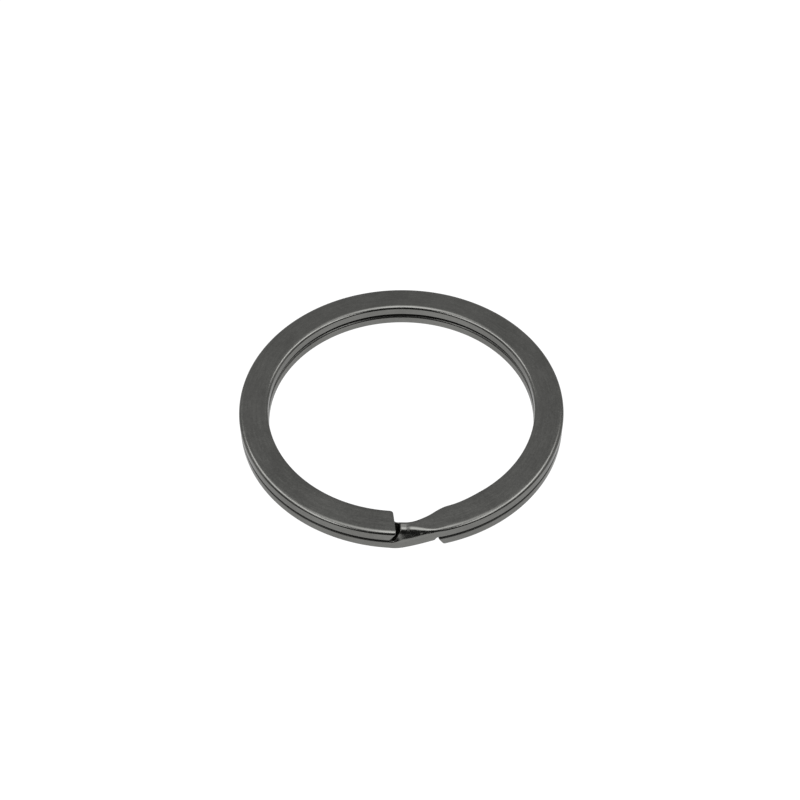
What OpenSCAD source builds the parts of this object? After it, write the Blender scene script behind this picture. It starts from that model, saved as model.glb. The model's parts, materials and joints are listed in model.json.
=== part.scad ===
// Split key ring: one flat spring-steel strip wound into two stacked turns.
// The strip is drawn in sections, so that each turn can spring open along its length.
// Plan angles are counted from the front (-Y), positive towards +X. Z = 0 is the underside.

/* [Strip] */
// Outside diameter of the ring
ring_od = 32; // [28:1:40]
// Width of the flat strip, from the hole to the outside
strip_w = 2.85; // [2.7:0.05:3]
// Thickness of the strip
strip_t = 1.15; // [1.1:0.05:1.2]
// Gap between the two turns when the ring is closed
turn_gap = 0.1; // [0.08:0.01:0.14]
// Rounding along the strip's edges
edge_r = 0.3; // [0.2:0.01:0.34]
// Rounding of the edges that meet along the outside seam between the turns
seam_r = 0.2; // [0.14:0.01:0.3]

/* [Crossover] */
// Climb of the neck's outer wall for each degree along the ring
neck_climb = 0.075; // [0.07:0.005:0.08]
// How far the neck's top edge moves out from the hole
neck_top_in = 1.33; // [1:0.01:1.4]
// How far the neck's bottom edge moves out from the hole
neck_bottom_in = 0.75; // [0.5:0.05:1]
// Slight early narrowing of the upper turn before the neck
neck_lead = 0.11; // [0:0.01:0.2]
// How far the neck's shoulder moves in from the outside
shoulder_in = 0.53; // [0.4:0.01:0.6]
// How far the shoulder dips below the neck's top before the plunge
shoulder_drop = 0.12; // [0.05:0.01:0.2]
// Extra rounding of the shoulder
shoulder_round = 0.5; // [0:0.05:0.6]
// Extra height of the neck's outer wall
waist_extra = 0.12; // [0:0.01:0.15]
// Extra rounding of the waist, the top edge of that wall
waist_round = 0.5; // [0:0.05:0.6]
// Lift of the neck's underside at the hole
under_lift = 0.45; // [0:0.05:0.6]

/* [Ends] */
// Distance of the upper end's top edge from the ring's front-to-back line
upper_end_x = 2.28; // [2.24:0.02:2.6]
// Lean of the upper end's face, its underside set back
upper_end_lean = 32; // [20:1:36]
// Distance of the lower end's top edge from the ring's front-to-back line
lower_end_x = 1.54; // [1.54:0.02:2.2]
// Lean of the lower end's face, its underside set back
lower_end_lean = 27; // [15:1:32]
// Rounding of each end's corner at the hole
end_corner_r = 0.35; // [0.2:0.05:0.5]
// Rounding of the lower end's underside at its tip
end_toe_r = 0.8; // [0.4:0.05:0.9]

/* [Sections] */
// Number of sections along each springing turn
leaf_sections = 8; // [6:1:10]

/* [Hidden] */
r_out = ring_od / 2;
r_in = r_out - strip_w;
upper_z = strip_t + turn_gap;
stack_h = upper_z + strip_t;
back = 180;                     // plan angle of the far side, where both springing turns begin
cross_left = -14;               // the crossover's end on the lower turn
cross_right = 28;               // the crossover's end on the upper turn
upper_tip = -8;                 // where the upper turn stops before its end is cut
lower_tip = 6;                  // where the lower turn stops before its end is cut
upper_step = (back + upper_tip) / leaf_sections;
lower_step = (back - lower_tip) / leaf_sections;
loft_step = 0.7;                // plan angle between two rings of the crossover's skin
corner_steps = 5;               // facets round each corner of its section
plunge_top = -6.7;              // where its top starts to fall to the lower turn
plunge_foot = -9.9;             // where its top reaches the lower turn
neck_step = 0.28;               // last rise of its underside, over the lower turn's free end
cutter = 20;                    // size of the blocks that trim the ends
steel = [0.33, 0.33, 0.32];
$fn = 96;

// Rises smoothly from 0 to 1 as a goes from a plan angle to another one.
function ease(a, from, to) =
    let (u = max(0, min(1, (a - from) / (to - from))))
    u * u * (3 - 2 * u);
function mix(p, q, t) = p + (q - p) * t;

// The crossover. Its outer wall climbs from the lower turn to the upper one. Above that wall's top
// edge, the waist, a steep facet leans in to a shoulder at the side of the neck's narrow top.
function top_inner(a) =
    r_in + ease(a, -11, -6.6) * (neck_lead * ease(a, cross_right, 14) + neck_top_in * ease(a, 12, -5));
function bottom_inner(a) =
    mix(r_in + neck_bottom_in * ease(a, -12, -1), top_inner(a), ease(a, 1, 7));
function climb(a) =
    let (start = min(4, max(0, a + 9.2)))
    neck_climb * (start * start / 8 + max(0, a + 5.2));
function low_z(a) = min(upper_z, climb(a) + neck_step * ease(a, 4.2, 5.2));
function top_z(a) = mix(stack_h, strip_t, ease(a, plunge_top, plunge_foot));
function waist_z(a) =
    min(stack_h - edge_r, climb(a) + strip_t + waist_extra * (ease(a, -8, -5.5) + ease(a, -3, 0)));

// The section at plan angle a: [distance from the axis, height, rounding] of each corner.
function section_corners(a) = [
    [r_out, low_z(a), mix(edge_r, seam_r, ease(a, 4, 8))],
    [
        r_out,
        waist_z(a),
        mix(edge_r, seam_r, ease(a, -8, -11)) + waist_round * ease(a, -9, -6) * ease(a, 5, 1)
    ],
    [
        r_out - shoulder_in * ease(a, 9, -4),
        top_z(a) - shoulder_drop * ease(a, -3.3, -5.4) * ease(a, plunge_foot, -7.5),
        edge_r + shoulder_round * ease(a, 5, -1) * ease(a, -8.5, -6.5)
    ],
    [top_inner(a), top_z(a), edge_r],
    [bottom_inner(a), low_z(a) + under_lift * ease(a, -10, -5) * ease(a, 6, 1), edge_r]
];

// The direction straight out from the side between two corners.
function side_normal(p, q) = atan2(p[0] - q[0], q[1] - p[1]);

// The crossover's section at plan angle a, as points in space.
function cross_ring(a) =
    let (
        corners = section_corners(a),
        count = len(corners)
    )
    [
        for (k = [0 : count - 1])
            let (
                here = corners[k],
                before = side_normal(corners[(k + count - 1) % count], here),
                turned = side_normal(here, corners[(k + 1) % count]) - before,
                wrapped = turned - 360 * floor(turned / 360),
                turn = (wrapped > 180) ? 0 : wrapped,
                middle = before + turn / 2,
                centre = [here[0], here[1]] - here[2] / cos(turn / 2) * [cos(middle), sin(middle)]
            )
            for (j = [0 : corner_steps])
                let (
                    around = before + turn * j / corner_steps,
                    r = centre[0] + here[2] * cos(around)
                )
                [r * sin(a), -r * cos(a), centre[1] + here[2] * sin(around)]
    ];

// One turn's flat section with rounded edges, its seam with the other turn at height zero.
module strip_profile() {
    translate([r_in + edge_r, 0])
        square([strip_w - edge_r - seam_r, strip_t]);
    translate([r_in, edge_r])
        square([strip_w - edge_r, strip_t - 2 * edge_r]);
    translate([r_in + edge_r, seam_r])
        square([strip_w - edge_r, strip_t - edge_r - seam_r]);
    for (y = [edge_r, strip_t - edge_r])
        translate([r_in + edge_r, y])
            circle(r = edge_r);
    translate([r_out - edge_r, strip_t - edge_r])
        circle(r = edge_r);
    translate([r_out - seam_r, seam_r])
        circle(r = seam_r);
}

// The upper turn round the axis from plan angle a0 to a1.
module upper_arc(a0, a1) {
    rotate([0, 0, a0 - 90])
        rotate_extrude(angle = a1 - a0)
            translate([0, upper_z])
                strip_profile();
}

// The lower turn round the axis from plan angle a0 to a1, its seam on top.
module lower_arc(a0, a1) {
    rotate([0, 0, a0 - 90])
        rotate_extrude(angle = a1 - a0)
            translate([0, strip_t])
                mirror([0, 1])
                    strip_profile();
}

// Cuts an end with a leaning face: side is -1 for an end left of the front, 1 for one right of it.
module end_cut(side, x, z, lean) {
    translate([side * x, 0, z])
        rotate([0, -side * lean, 0])
            translate([side > 0 ? -cutter : 0, -cutter, -cutter / 2])
                cube([cutter, cutter, cutter]);
}

module crossover() {
    rings = ceil((cross_right - cross_left) / loft_step);
    sides = len(section_corners(0)) * (corner_steps + 1);
    skin = [
        for (i = [0 : rings])
            each cross_ring(mix(cross_left, cross_right, i / rings))
    ];
    walls = [
        for (i = [0 : rings - 1], j = [0 : sides - 1])
            let (
                p = i * sides + j,
                q = i * sides + (j + 1) % sides
            )
            each [[p, q, q + sides], [p, q + sides, p + sides]]
    ];
    first = [for (j = [sides - 1 : -1 : 0]) j];
    last = [for (j = [0 : sides - 1]) rings * sides + j];
    color(steel)
        polyhedron(points = skin, faces = [each walls, first, last], convexity = 4);
}

module upper_turn_fixed() {
    color(steel)
        upper_arc(cross_right, back);
}

module lower_turn_fixed() {
    color(steel)
        lower_arc(-back, cross_left);
}

// Takes off an end's corner at the hole, following the end's leaning face and the hole's wall.
module end_corner(side, x, z, lean) {
    c = end_corner_r;
    centre_x = x + c;
    centre_y = -sqrt(pow(r_in + c, 2) - pow(centre_x, 2));
    to_axis = [-side * centre_x, -centre_y] / (r_in + c);
    along_wall = atan(-centre_x / centre_y * sin(lean));
    translate([side * x, centre_y, z])
        rotate([0, -side * lean, 0])
            rotate([along_wall, 0, 0])
                translate([side * c, 0, 0])
                    linear_extrude(height = 4 * strip_t, center = true)
                        difference() {
                            polygon([[0, 0], [-2 * side * c, 0], [-2 * side * c, 3 * c], 2 * c * to_axis]);
                            circle(r = c);
                        }
}

// Rounds the lower end's face into its underside.
module end_toe() {
    face = [-cos(lower_end_lean), -sin(lower_end_lean)];
    centre_x = lower_end_x + (strip_t - end_toe_r) * tan(lower_end_lean) - end_toe_r / face[0];
    rotate([90, 0, 0])
        linear_extrude(height = cutter)
            translate([centre_x, end_toe_r])
                difference() {
                    polygon([[0, 0], 3 * end_toe_r * face, [0, -3 * end_toe_r]]);
                    circle(r = end_toe_r);
                }
}

// Section i of the upper springing turn, counted from the far side to its free end.
module upper_leaf(i) {
    start = -back + (i - 1) * upper_step;
    color(steel)
        difference() {
            upper_arc(start, start + upper_step);
            if (i == leaf_sections) {
                end_cut(-1, upper_end_x, stack_h, upper_end_lean);
                end_corner(-1, upper_end_x, stack_h, upper_end_lean);
            }
        }
}

// Section i of the lower springing turn, counted from the far side to its free end.
module lower_leaf(i) {
    start = back - (i - 1) * lower_step;
    color(steel)
        difference() {
            lower_arc(start - lower_step, start);
            if (i == leaf_sections) {
                end_cut(1, lower_end_x, strip_t, lower_end_lean);
                end_corner(1, lower_end_x, strip_t, lower_end_lean);
                end_toe();
            }
        }
}

crossover();
upper_turn_fixed();
lower_turn_fixed();
for (i = [1 : leaf_sections]) {
    upper_leaf(i);
    lower_leaf(i);
}
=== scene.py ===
import json
import math

import bmesh
import bpy
import numpy as np
from mathutils import Matrix, Vector


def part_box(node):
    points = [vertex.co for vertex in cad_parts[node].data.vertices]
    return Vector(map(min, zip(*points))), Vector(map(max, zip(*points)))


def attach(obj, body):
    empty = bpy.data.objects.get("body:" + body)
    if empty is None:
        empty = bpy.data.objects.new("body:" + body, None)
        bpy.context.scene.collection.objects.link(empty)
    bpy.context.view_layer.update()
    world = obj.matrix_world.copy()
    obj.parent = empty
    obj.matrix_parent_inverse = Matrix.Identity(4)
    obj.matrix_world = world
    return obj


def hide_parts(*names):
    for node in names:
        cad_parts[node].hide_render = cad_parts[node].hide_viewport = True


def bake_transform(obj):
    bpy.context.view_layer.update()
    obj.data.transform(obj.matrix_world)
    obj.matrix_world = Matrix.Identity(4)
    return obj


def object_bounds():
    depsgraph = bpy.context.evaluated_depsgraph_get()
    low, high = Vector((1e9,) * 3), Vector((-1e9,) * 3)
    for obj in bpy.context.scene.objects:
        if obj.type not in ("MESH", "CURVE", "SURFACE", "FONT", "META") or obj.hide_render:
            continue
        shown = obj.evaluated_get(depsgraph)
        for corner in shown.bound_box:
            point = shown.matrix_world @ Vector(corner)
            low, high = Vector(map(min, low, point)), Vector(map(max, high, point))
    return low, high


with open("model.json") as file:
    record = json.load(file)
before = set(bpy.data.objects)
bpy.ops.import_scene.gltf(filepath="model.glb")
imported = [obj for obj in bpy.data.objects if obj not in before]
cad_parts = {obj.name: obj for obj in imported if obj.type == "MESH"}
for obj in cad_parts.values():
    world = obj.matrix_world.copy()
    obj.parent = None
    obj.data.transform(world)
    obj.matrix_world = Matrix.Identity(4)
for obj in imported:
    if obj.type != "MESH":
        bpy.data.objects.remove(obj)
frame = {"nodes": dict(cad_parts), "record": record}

cad_low, cad_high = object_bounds()
MM = 0.001

# ---------------------------------------------------------------- sizes, from the frame
mounts = {m["name"]: m for m in frame["record"]["mounts"]}
SECTIONS = sum(1 for n in frame["nodes"] if n.startswith("upper_leaf_"))

R_OUT = cad_high.y
R_IN = mounts["ring_eye"]["dims"]["r_mm"] * MM
STACK = cad_high.z
STRIP_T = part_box("lower_turn_fixed")[1].z
UPPER_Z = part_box("upper_turn_fixed")[0].z
EDGE_R = (STACK - mounts["ring_eye"]["dims"]["length_mm"] * MM) / 2

# The strip is followed by one running angle in degrees: 0 at the crossover, rising along the
# upper turn to its free end, and falling along the lower turn to the other free end. The tips are how
# far short of a whole turn the two stop.
BACK = 180.0
UPPER_TIP = 8.0
LOWER_TIP = 6.0
UPPER_STEP = (BACK - UPPER_TIP) / SECTIONS
LOWER_STEP = (BACK - LOWER_TIP) / SECTIONS

# The two free ends: the top edge of each end's face, how far the face leans, and its roundings.
UPPER_END_X = -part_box("upper_leaf_%d" % SECTIONS)[1].x
UPPER_LEAN = math.tan(math.radians(32))
LOWER_END_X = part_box("lower_leaf_%d" % SECTIONS)[0].x
LOWER_LEAN = math.tan(math.radians(27))
END_ROUND = 0.12 * MM
END_CORNER = 0.35 * MM
END_TOE = 0.8 * MM

# The neck between the turns: its outer wall climbs, and a steep facet leans in from that wall's top
# edge, the waist, to a shoulder.
NECK_CLIMB = 0.075 * MM
NECK_STEP = 0.28 * MM
NECK_TOP_IN = 1.33 * MM
NECK_BOTTOM_IN = 0.75 * MM
NECK_LEAD = 0.11 * MM
SHOULDER_IN = 0.53 * MM
SHOULDER_DROP = 0.12 * MM
SHOULDER_ROUND = 0.5 * MM
WAIST_EXTRA = 0.12 * MM
WAIST_ROUND = 0.5 * MM
UNDER_LIFT = 0.45 * MM
SEAM_R = 0.2 * MM

# Where each of the neck's changes starts and is complete, as running angles.
LEAD_SPAN = (28, 14)
TOP_IN_SPAN = (12, -5)
TOP_BACK_SPAN = (-11, -6.6)
BOTTOM_IN_SPAN = (-12, -1)
INNER_MERGE_SPAN = (1, 7)
CLIMB_FROM = -9.2
CLIMB_EASE = 4.0
STEP_SPAN = (4.2, 5.2)
PLUNGE = (-6.7, -9.9)
WAIST_SPANS = ((-8, -5.5), (-3, 0))
WAIST_ROUND_SPANS = ((-9, -6), (5, 1))
SHOULDER_SPAN = (9, -4)
SHOULDER_DROP_SPANS = ((-3.3, -5.4), (PLUNGE[1], -7.5))
SHOULDER_ROUND_SPANS = ((5, -1), (-8.5, -6.5))
UNDER_SPANS = ((-10, -5), (6, 1))
SEAM_EDGE_SPANS = ((4, 8), (-8, -11))
SEAM_DEPTH_SPANS = ((5, 9), (-10, -13))
PLAIN_EDGE_SPANS = ((-12, -9), (10, 2))

# Mesh fineness, and how far the rounded edges reach into the flats away from the neck. LEAST_ARC keeps
# two corners' points apart where the section has no bend.
ANGLE_STEP = 0.75
CORNER_STEPS = 9
CORNERS = 5
LEAST_ARC = 0.01 * MM
NECK_RANGE = (-13.0, 10.0)
NECK_ANGLE_STEP = 0.2
FLAT_STRETCH = 1.6
FLAT_STOPS = (0.04, 0.3, 0.5, 0.7, 0.96)
ROUND_STEPS = 5
CAP_STOPS = (0.8, 0.5, 0.2)

# Light: the glow of the light table and of the backdrop, and the studio's radiance low down, at mid
# height, overhead and in the strip lights at the sides.
FLOOR_HALF = 1.0
FLOOR_COLOUR = (0.03, 0.03, 0.03)
FLOOR_GLOW = 1.06
BACKDROP = 1.1
LOW = 0.03
MIDDLE = 0.43
OVERHEAD = 2.9
SIDES = 2.8

# Where each light fades in or out, by direction: the overhead box by pitch, the rest by how far the
# direction points to the side, up or ahead.
BOX_FRONT = (math.radians(68), math.radians(78))
BOX_BACK = (math.radians(88), math.radians(124))
BOX_SIDE = (0.42, 0.05)
STRIP_SIDES = ((0.36, 0.46), (0.56, 0.70))
STRIP_FOOT = (0.6, 0.75)
STRIP_BACK = (0.6, 0.4)
WING_SIDE = (0.6, 0.95)
WING_SHARE = 0.45
WALL_AHEAD = (-0.1, 0.15)
WALL_FOOT = (0.0, 0.12)

# Steel: its colour and gloss, the scales of its clouds, grain and drawn lines, how much the worn edges
# differ, and the painted shade and extra roughness in the seam between the turns.
STEEL_COLOUR = (0.165, 0.165, 0.157)
STEEL_RIM = 0.65
STEEL_ROUGH = 0.22
NOISE_SPAN = (0.3, 0.7)
CLOUD_TONE = (-0.07, 0.07)
FINE_TONE = (-0.05, 0.05)
FINE_ROUGH = (-0.02, 0.03)
CLOUDS_PER_M = 260.0
GRAIN_PER_M = 5200.0
LINES_PER_M = 6500.0
LINE_LENGTHS = 10.0
WEAR_PATCHES = (0.35, 0.6)
WEAR_LEAST = 0.35
WEAR_TONE = 0.12
WEAR_POLISH = 0.03
# How dark the painted shade makes the steel deep in the seam between the turns.
SEAM_SHADE = 0.2
SEAM_ROUGH = 0.45
BUMP_DEPTH = 0.004 * MM

# ---------------------------------------------------------------- camera
CAMERA_TURN = math.radians(-6.5)
CAMERA_HEIGHT = math.radians(49.563)
CAMERA_ROLL = math.radians(-0.3675)
CAMERA_DISTANCE = 145 * MM
CAMERA_LENS = 65.3
CAMERA_SHIFT = (-0.0017, 0.0230)


def make_camera():
    data = bpy.data.cameras.new("camera")
    data.lens = CAMERA_LENS
    data.sensor_width = 36
    data.shift_x, data.shift_y = CAMERA_SHIFT
    data.clip_start = 0.01
    data.clip_end = 10
    cam = bpy.data.objects.new("camera", data)
    bpy.context.scene.collection.objects.link(cam)
    back = Vector((
        math.sin(CAMERA_TURN) * math.cos(CAMERA_HEIGHT),
        -math.cos(CAMERA_TURN) * math.cos(CAMERA_HEIGHT),
        math.sin(CAMERA_HEIGHT),
    ))
    aim = (-back).to_track_quat("-Z", "Y").to_matrix().to_4x4()
    roll = Matrix.Rotation(CAMERA_ROLL, 4, "Z")
    cam.matrix_world = Matrix.Translation(back * CAMERA_DISTANCE) @ aim @ roll
    bpy.context.scene.camera = cam
    return cam


# ---------------------------------------------------------------- the strip's shape
def ease(a, low, high):
    u = min(1.0, max(0.0, (a - low) / (high - low)))
    return u * u * (3 - 2 * u)


def mix(p, q, t):
    return p + (q - p) * t


def within(a, spans):
    """1 between the second numbers of two spans, falling smoothly to 0 at their first numbers."""
    return ease(a, *spans[0]) * ease(a, *spans[1])


def top_inner(a):
    lead = NECK_LEAD * ease(a, *LEAD_SPAN)
    return R_IN + ease(a, *TOP_BACK_SPAN) * (lead + NECK_TOP_IN * ease(a, *TOP_IN_SPAN))


def bottom_inner(a):
    narrow = R_IN + NECK_BOTTOM_IN * ease(a, *BOTTOM_IN_SPAN)
    return mix(narrow, top_inner(a), ease(a, *INNER_MERGE_SPAN))


def climb(a):
    past = max(0.0, a - CLIMB_FROM)
    start = min(CLIMB_EASE, past)
    return NECK_CLIMB * (start * start / (2 * CLIMB_EASE) + max(0.0, past - CLIMB_EASE))


def section_corners(a):
    """The strip's section at running angle a: its corners from the lower outer one round, with the
    rounding of each."""
    low = min(UPPER_Z, climb(a) + NECK_STEP * ease(a, *STEP_SPAN))
    top = mix(STACK, STRIP_T, ease(a, *PLUNGE))
    lift = WAIST_EXTRA * sum(ease(a, *span) for span in WAIST_SPANS)
    waist = min(STACK - EDGE_R - 2 * LEAST_ARC, climb(a) + STRIP_T + lift)
    shoulder_r = R_OUT - SHOULDER_IN * ease(a, *SHOULDER_SPAN)
    shoulder_z = top - SHOULDER_DROP * within(a, SHOULDER_DROP_SPANS)
    under = low + UNDER_LIFT * within(a, UNDER_SPANS)
    corners = (
        (R_OUT, low),
        (R_OUT, waist),
        (shoulder_r, shoulder_z),
        (top_inner(a), top),
        (bottom_inner(a), under),
    )
    lower_seam, upper_seam = (mix(EDGE_R, SEAM_R, ease(a, *span)) for span in SEAM_EDGE_SPANS)
    rounds = (
        lower_seam,
        upper_seam + WAIST_ROUND * within(a, WAIST_ROUND_SPANS),
        EDGE_R + SHOULDER_ROUND * within(a, SHOULDER_ROUND_SPANS),
        EDGE_R,
        EDGE_R,
    )
    return corners, rounds


def section(a, inset=0.0):
    """Radius and height of each point round the strip's section at running angle a, moved in by inset."""
    corners, rounds = section_corners(a)
    count = len(corners)
    normals = []
    for k in range(count):
        (r0, z0), (r1, z1) = corners[k], corners[(k + 1) % count]
        normals.append(math.atan2(r0 - r1, z1 - z0))
    wide = mix(FLAT_STRETCH, 1.0, within(a, PLAIN_EDGE_SPANS))
    stretch = ((wide, 1.0), (1.0, 1.0), (1.0, wide), (wide, 1.0), (1.0, wide))
    arcs = []
    for k in range(count):
        before, after = normals[k - 1], normals[k]
        turn = (after - before) % (2 * math.pi)
        if turn > math.pi:
            turn = 0.0
        middle = before + turn / 2
        off = inset / math.cos(turn / 2)
        tip = np.array([corners[k][0] - off * math.cos(middle), corners[k][1] - off * math.sin(middle)])
        reach = max(LEAST_ARC, max(LEAST_ARC, rounds[k] - inset) * math.tan(turn / 2))
        start = tip + reach * stretch[k][0] * np.array([math.sin(before), -math.cos(before)])
        stop = tip + reach * stretch[k][1] * np.array([-math.sin(after), math.cos(after)])
        t = np.linspace(0, 1, CORNER_STEPS + 1)[:, None]
        weights = (1 - t) ** 2, 2 * t * (1 - t) * math.cos(turn / 2), t**2
        arcs.append((weights[0] * start + weights[1] * tip + weights[2] * stop) / sum(weights))
    rows = []
    for k, arc in enumerate(arcs):
        rows.append(arc)
        start, stop = arc[-1], arcs[(k + 1) % count][0]
        rows.append(np.array([mix(start, stop, t) for t in FLAT_STOPS]))
    outline = np.concatenate(rows)
    return outline[:, 0], outline[:, 1]


def wear_round():
    """The wear at each point of the section: most in the middle of each rounded edge, none on the flats."""
    arc = np.sin(np.linspace(0, math.pi, CORNER_STEPS + 1))
    return np.tile(np.concatenate([arc, np.zeros(len(FLAT_STOPS))]), CORNERS)


def seam_round(a, z):
    """How deep each point lies in the seam between the turns: 1 on the facing sides, 0 past their
    rounded edges and along the neck. The steel is darkened by this depth as painted shade for the gap
    between the turns, together with the dark residue such a groove collects."""
    depth = np.abs(z - (STRIP_T + UPPER_Z) / 2) - (UPPER_Z - STRIP_T) / 2
    return sum(ease(a, *span) for span in SEAM_DEPTH_SPANS) * np.clip(1 - depth / SEAM_R, 0, 1)


def place(a, r, z):
    """Points in space: a is one running angle or one for each point."""
    turn = np.radians(a)
    return np.stack([r * np.sin(turn), -r * np.cos(turn), z + 0 * r], 1)


def upper_face(r, z):
    """The running angle at which the upper end's face cuts each point."""
    reach = UPPER_END_X + (STACK - z) * UPPER_LEAN + corner_setback(r)
    return 360 - np.degrees(np.arcsin(reach / r))


def lower_face(r, z):
    """The running angle at which the lower end's face cuts each point, rounded at its underside."""
    flat = LOWER_END_X + (STRIP_T - z) * LOWER_LEAN
    toe_x = LOWER_END_X + (STRIP_T - END_TOE) * LOWER_LEAN + END_TOE * math.hypot(1, LOWER_LEAN)
    toe = toe_x - np.sqrt(np.maximum(0, END_TOE**2 - (END_TOE - z) ** 2))
    bend = END_TOE * (1 - math.sin(math.atan(LOWER_LEAN)))
    reach = np.where(z < bend, toe, flat) + corner_setback(r)
    return -360 + np.degrees(np.arcsin(reach / r))


def corner_setback(r):
    """How far the rounded corner at the hole falls back from an end's face."""
    into = np.clip(END_CORNER - (r - R_IN), 0, END_CORNER)
    return END_CORNER - np.sqrt(np.maximum(0, END_CORNER**2 - into**2))


# ---------------------------------------------------------------- meshes
def skin(name, rings, seams, tip=None):
    """A closed mesh through the rings, with sharp rims at flat caps. seams has the seam's depth at each
    ring's points, and tip is a last middle point."""
    bm = bmesh.new()
    rows = [[bm.verts.new(p) for p in ring] for ring in rings]
    count = len(rows[0])
    for near, far in zip(rows, rows[1:]):
        for j in range(count):
            k = (j + 1) % count
            bm.faces.new((near[j], near[k], far[k], far[j]))
    caps = [bm.faces.new(rows[0][::-1])]
    if tip is None:
        caps.append(bm.faces.new(rows[-1]))
    else:
        middle = bm.verts.new(tip)
        for j in range(count):
            bm.faces.new((rows[-1][j], rows[-1][(j + 1) % count], middle))
    bmesh.ops.recalc_face_normals(bm, faces=bm.faces)
    for f in bm.faces:
        f.smooth = True
    for cap in caps:
        cap.smooth = False
        for e in cap.edges:
            e.smooth = False
    mesh = bpy.data.meshes.new(name)
    bm.to_mesh(mesh)
    bm.free()
    for label, levels in (("wear", np.tile(wear_round(), len(rings))), ("seam", np.concatenate(seams))):
        whole = np.zeros(len(mesh.vertices))
        whole[: len(levels)] = levels
        mesh.attributes.new(label, "FLOAT", "POINT").data.foreach_set("value", whole)
    obj = bpy.data.objects.new(name, mesh)
    bpy.context.scene.collection.objects.link(obj)
    return obj


def stops(a0, a1):
    """Running angles from a0 to a1, closer together through the neck."""
    even = np.linspace(a0, a1, max(2, round(abs(a1 - a0) / ANGLE_STEP) + 1))
    first, last = NECK_RANGE
    if min(a0, a1) > first or max(a0, a1) < last:
        return even
    fine = np.arange(first, last, NECK_ANGLE_STEP)
    return np.concatenate([even[even < first], fine, even[even > last]])


def strip_piece(name, a0, a1):
    """The strip between two running angles."""
    rings, seams = [], []
    for a in stops(a0, a1):
        r, z = section(a)
        rings.append(place(a, r, z))
        seams.append(seam_round(a, z))
    return skin(name, rings, seams)


def end_piece(name, a0, face):
    """The strip from running angle a0 to a free end, whose face is a function of radius and height."""
    r, z = section(a0)
    goal = face(r, z)
    toward = 1 if goal.mean() > a0 else -1
    back_off = np.degrees(END_ROUND / r) * toward
    count = max(2, round(abs(goal.mean() - a0) / ANGLE_STEP))
    rings = [place(mix(a0, goal - back_off, f), r, z) for f in np.linspace(0, 1, count + 1)]
    seams = [seam_round(a0, z)] * len(rings)
    for turn in np.linspace(0, math.pi / 2, ROUND_STEPS + 1)[1:]:
        r, z = section(a0, END_ROUND * (1 - math.cos(turn)))
        left = np.degrees(END_ROUND * (1 - math.sin(turn)) / r) * toward
        rings.append(place(face(r, z) - left, r, z))
        seams.append(0.0 * z)
    rc, zc = (r.min() + r.max()) / 2, (z.min() + z.max()) / 2
    for s in CAP_STOPS:
        rr, zz = mix(rc, r, s), mix(zc, z, s)
        rings.append(place(face(rr, zz), rr, zz))
        seams.append(0.0 * zz)
    one = np.array([rc]), np.array([zc])
    return skin(name, rings, seams, place(face(*one), *one)[0])


# ---------------------------------------------------------------- shader nodes
class Nodes:
    """Short ways to add shader nodes to a tree."""

    def __init__(self, tree):
        self.tree = tree

    def add(self, kind, inputs, **settings):
        node = self.tree.nodes.new(kind)
        for key, value in settings.items():
            setattr(node, key, value)
        for key, value in inputs.items():
            if isinstance(value, bpy.types.NodeSocket):
                self.tree.links.new(value, node.inputs[key])
            else:
                node.inputs[key].default_value = value
        return node

    def math(self, operation, a, b=0.0):
        return self.add("ShaderNodeMath", {0: a, 1: b}, operation=operation).outputs[0]

    def ramp(self, value, low, high, to=(0.0, 1.0)):
        """Goes smoothly from to[0] to to[1] as value goes from low to high."""
        inputs = {"Value": value, "From Min": low, "From Max": high, "To Min": to[0], "To Max": to[1]}
        return self.add("ShaderNodeMapRange", inputs, interpolation_type="SMOOTHSTEP").outputs["Result"]

    def noise(self, vector, scale, detail=2.0, w=None):
        inputs = {"Vector": vector, "Scale": scale, "Detail": detail}
        if w is None:
            return self.add("ShaderNodeTexNoise", inputs).outputs["Fac"]
        inputs["W"] = w
        return self.add("ShaderNodeTexNoise", inputs, noise_dimensions="4D").outputs["Fac"]


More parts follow.
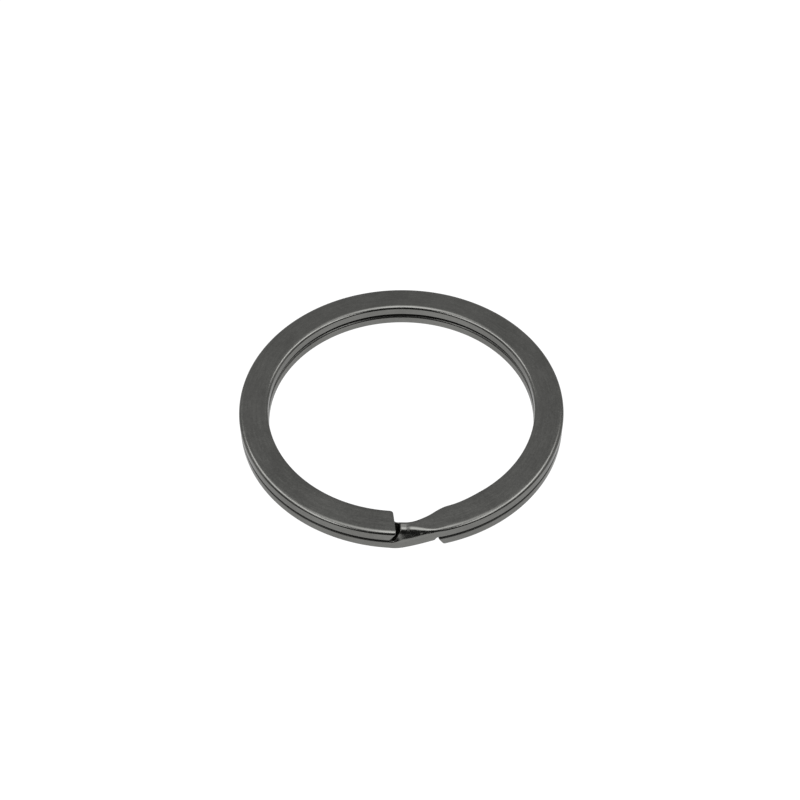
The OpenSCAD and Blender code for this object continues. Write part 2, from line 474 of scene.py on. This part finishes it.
# ---------------------------------------------------------------- material
def make_steel():
    """Black-nickel plate over drawn steel: fine grain, faint lines along the strip, edges rubbed lighter,
    and painted shade darkening the seam between the turns.
    """
    mat = bpy.data.materials.new("black_nickel")
    mat.use_nodes = True
    tree = mat.node_tree
    add = Nodes(tree)
    shader = tree.nodes["Principled BSDF"]
    shader.inputs["Metallic"].default_value = 1.0
    shader.inputs["Specular Tint"].default_value = (STEEL_RIM, STEEL_RIM, STEEL_RIM, 1)

    place_at = add.add("ShaderNodeTexCoord", {}).outputs["Object"]
    spot = add.add("ShaderNodeSeparateXYZ", {"Vector": place_at}).outputs
    squares = [add.math("MULTIPLY", spot[axis], spot[axis]) for axis in "XY"]
    radius = add.math("SQRT", add.math("ADD", *squares))
    around = add.add("ShaderNodeCombineXYZ", {
        "X": add.math("MULTIPLY", add.math("DIVIDE", spot["X"], radius), LINE_LENGTHS),
        "Y": add.math("MULTIPLY", add.math("DIVIDE", spot["Y"], radius), LINE_LENGTHS),
        "Z": add.math("MULTIPLY", radius, LINES_PER_M),
    }).outputs["Vector"]
    lines = add.noise(around, 1.0, 3.0, add.math("MULTIPLY", spot["Z"], LINES_PER_M))
    clouds = add.noise(place_at, CLOUDS_PER_M, 2.0)
    grain = add.noise(place_at, GRAIN_PER_M, 4.0)

    wear = add.add("ShaderNodeAttribute", {}, attribute_name="wear").outputs["Fac"]
    rubbed = add.math("MULTIPLY", wear, add.ramp(clouds, *WEAR_PATCHES, (WEAR_LEAST, 1.0)))

    cloud_tone = add.ramp(clouds, *NOISE_SPAN, CLOUD_TONE)
    grain_tone = add.ramp(grain, *NOISE_SPAN, FINE_TONE)
    line_tone = add.ramp(lines, *NOISE_SPAN, FINE_TONE)
    tone = add.math("ADD", add.math("ADD", cloud_tone, grain_tone), line_tone)
    tone = add.math("ADD", add.math("MULTIPLY", rubbed, WEAR_TONE), add.math("ADD", tone, 1.0))
    # Painted shade: the steel is darkened by the seam's depth, standing in for the shade in the gap between
    # the turns (with some dark residue); the same depth also makes it rougher.
    seam = add.add("ShaderNodeAttribute", {}, attribute_name="seam").outputs["Fac"]
    tone = add.math("MULTIPLY", tone, add.ramp(seam, 0.0, 1.0, (1.0, SEAM_SHADE)))
    colour = add.add("ShaderNodeVectorMath", {0: STEEL_COLOUR, "Scale": tone}, operation="SCALE")
    tree.links.new(colour.outputs["Vector"], shader.inputs["Base Color"])

    grain_rough = add.ramp(grain, *NOISE_SPAN, FINE_ROUGH)
    line_rough = add.ramp(lines, *NOISE_SPAN, FINE_ROUGH)
    rough = add.math("ADD", grain_rough, line_rough)
    rough = add.math("ADD", rough, add.ramp(seam, 0.0, 1.0, (STEEL_ROUGH, SEAM_ROUGH)))
    rough = add.math("SUBTRACT", rough, add.math("MULTIPLY", rubbed, WEAR_POLISH))
    tree.links.new(rough, shader.inputs["Roughness"])

    height = add.math("ADD", add.math("MULTIPLY", lines, 0.5), grain)
    bump = add.add("ShaderNodeBump", {"Height": height, "Strength": 0.5, "Distance": BUMP_DEPTH})
    tree.links.new(bump.outputs["Normal"], shader.inputs["Normal"])
    return mat


# ---------------------------------------------------------------- studio
def make_floor():
    """A light table: it glows white, so that it shows almost no shadow."""
    mesh = bpy.data.meshes.new("floor")
    corners = [(x * FLOOR_HALF, y * FLOOR_HALF, 0) for x, y in ((-1, -1), (1, -1), (1, 1), (-1, 1))]
    mesh.from_pydata(corners, [], [(0, 1, 2, 3)])
    floor = bpy.data.objects.new("floor", mesh)
    bpy.context.scene.collection.objects.link(floor)
    mat = bpy.data.materials.new("floor")
    mat.use_nodes = True
    shader = mat.node_tree.nodes["Principled BSDF"]
    shader.inputs["Base Color"].default_value = (*FLOOR_COLOUR, 1)
    shader.inputs["Roughness"].default_value = 0.9
    shader.inputs["Specular IOR Level"].default_value = 0.0
    shader.inputs["Emission Color"].default_value = (1, 1, 1, 1)
    shader.inputs["Emission Strength"].default_value = FLOOR_GLOW
    mesh.materials.append(mat)
    return floor


def make_world():
    """A plain studio: a white backdrop past the table, and for reflections a dark front, soft walls, a
    bright box overhead and a strip light at each side."""
    world = bpy.data.worlds.new("studio")
    world.use_nodes = True
    bpy.context.scene.world = world
    tree = world.node_tree
    background = tree.nodes["Background"]
    add = Nodes(tree)
    coords = add.add("ShaderNodeTexCoord", {}).outputs["Generated"]
    turned = add.add("ShaderNodeMapping", {"Vector": coords, "Rotation": (0, 0, -CAMERA_TURN)})
    split = add.add("ShaderNodeSeparateXYZ", {"Vector": turned.outputs["Vector"]}).outputs
    height, ahead = split["Z"], split["Y"]
    side = add.math("ABSOLUTE", split["X"])
    pitch = add.math("ARCTAN2", height, add.math("MULTIPLY", ahead, -1.0))

    def product(*values):
        total = values[0]
        for value in values[1:]:
            total = add.math("MULTIPLY", total, value)
        return total

    def band(value, rise, fall):
        return product(add.ramp(value, *rise), add.ramp(value, *fall[::-1]))

    box = product(band(pitch, BOX_FRONT, BOX_BACK), add.ramp(side, *BOX_SIDE), OVERHEAD)
    strip_ends = product(add.ramp(height, *STRIP_FOOT), add.ramp(ahead, *STRIP_BACK))
    strips = product(band(side, *STRIP_SIDES), strip_ends, SIDES)
    wings = product(add.ramp(side, *WING_SIDE), WING_SHARE)
    around = add.math("MAXIMUM", add.ramp(ahead, *WALL_AHEAD), wings)
    walls = product(add.ramp(height, *WALL_FOOT), around, MIDDLE)
    room = add.math("ADD", add.math("ADD", box, strips), add.math("ADD", walls, LOW))
    seen = add.add("ShaderNodeLightPath", {}).outputs["Is Camera Ray"]
    strength = add.add("ShaderNodeMix", {"Factor": seen, "A": room, "B": BACKDROP}, data_type="FLOAT")
    tree.links.new(strength.outputs["Result"], background.inputs["Strength"])
    background.inputs["Color"].default_value = (1, 1, 1, 1)
    return world


# ---------------------------------------------------------------- build
make_camera()
make_world()
make_floor()
steel = make_steel()


def finish_piece(obj, *nodes):
    obj.data.materials.append(steel)
    if nodes:
        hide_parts(*nodes)
    return obj


def bend_piece(obj):
    """Bakes the piece's placement into its mesh."""
    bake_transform(obj)


root = finish_piece(
    strip_piece("ring", -BACK + LOWER_STEP / 2, BACK - UPPER_STEP / 2),
    "crossover", "upper_turn_fixed", "lower_turn_fixed",
)
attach(root, "ring_body")

for turn, first, step, sign in (("upper", BACK, UPPER_STEP, 1), ("lower", -BACK, LOWER_STEP, -1)):
    below = "ring_body"
    for i in range(1, SECTIONS + 1):
        hinge = first + sign * (i - 1) * step
        a0, a1 = hinge - sign * step / 2, hinge + sign * step / 2
        body = "%s_spring_%d" % (turn, i)
        piece = strip_piece("%s_turn_%d" % (turn, i), a0, a1)
        finish_piece(piece, "%s_leaf_%d" % (turn, i))
        bend_piece(piece)
        below = body
    face = upper_face if turn == "upper" else lower_face
    end = finish_piece(end_piece(turn + "_end", first + sign * (SECTIONS - 0.5) * step, face))
    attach(end, below)

bpy.context.scene.view_settings.view_transform = "Standard"
bpy.context.view_layer.update()
